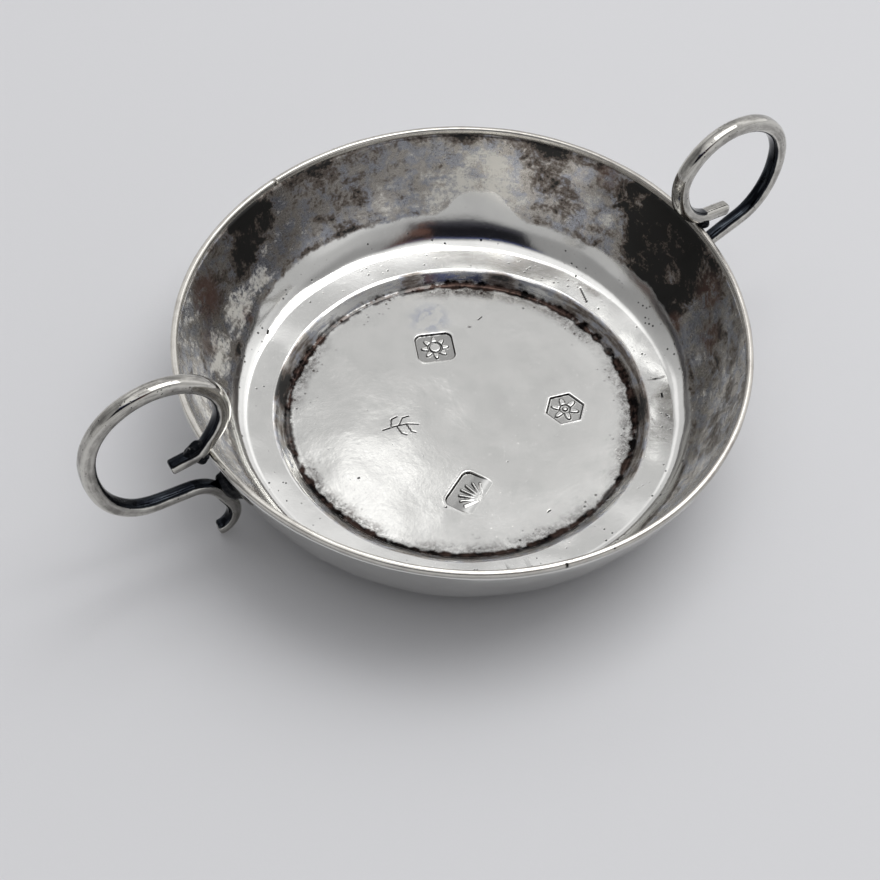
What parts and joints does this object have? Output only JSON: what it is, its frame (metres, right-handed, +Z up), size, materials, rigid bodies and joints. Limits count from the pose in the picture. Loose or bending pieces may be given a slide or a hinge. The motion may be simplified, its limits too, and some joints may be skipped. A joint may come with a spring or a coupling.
{
  "type": "wine taster",
  "caption": "Shallow round silver wine-tasting cup with a sunk well, a lip wire and a bent wire loop handle soldered on at each side.",
  "frame": {"origin": "on the underside of the foot, straight under the middle of the lip, on the surface that the cup stands on", "axes": "+Z up, +X towards the right handle, the two handles along X"},
  "size_m": [0.1266, 0.09, 0.041],
  "materials": {
    "bowl_silver": "worn hand-raised silver: satin bright floor and ledge, grey-brown tarnish up the wall, dirt in the corner of the well",
    "lip_silver": "bright rubbed silver with small nicks",
    "handle_silver": "polished silver wire with grey-pink tarnish and dark scuffs",
    "solder": "blackened silver solder with small bright worn spots"
  },
  "bodies": {
    "root": {"bowl": "bowl_silver", "rim_wire": "lip_silver", "left_handle": "handle_silver", "right_handle": "handle_silver", "left_rim_solder": "solder", "left_wall_solder": "solder", "right_rim_solder": "solder", "right_wall_solder": "solder"}
  },
  "joints": []
}
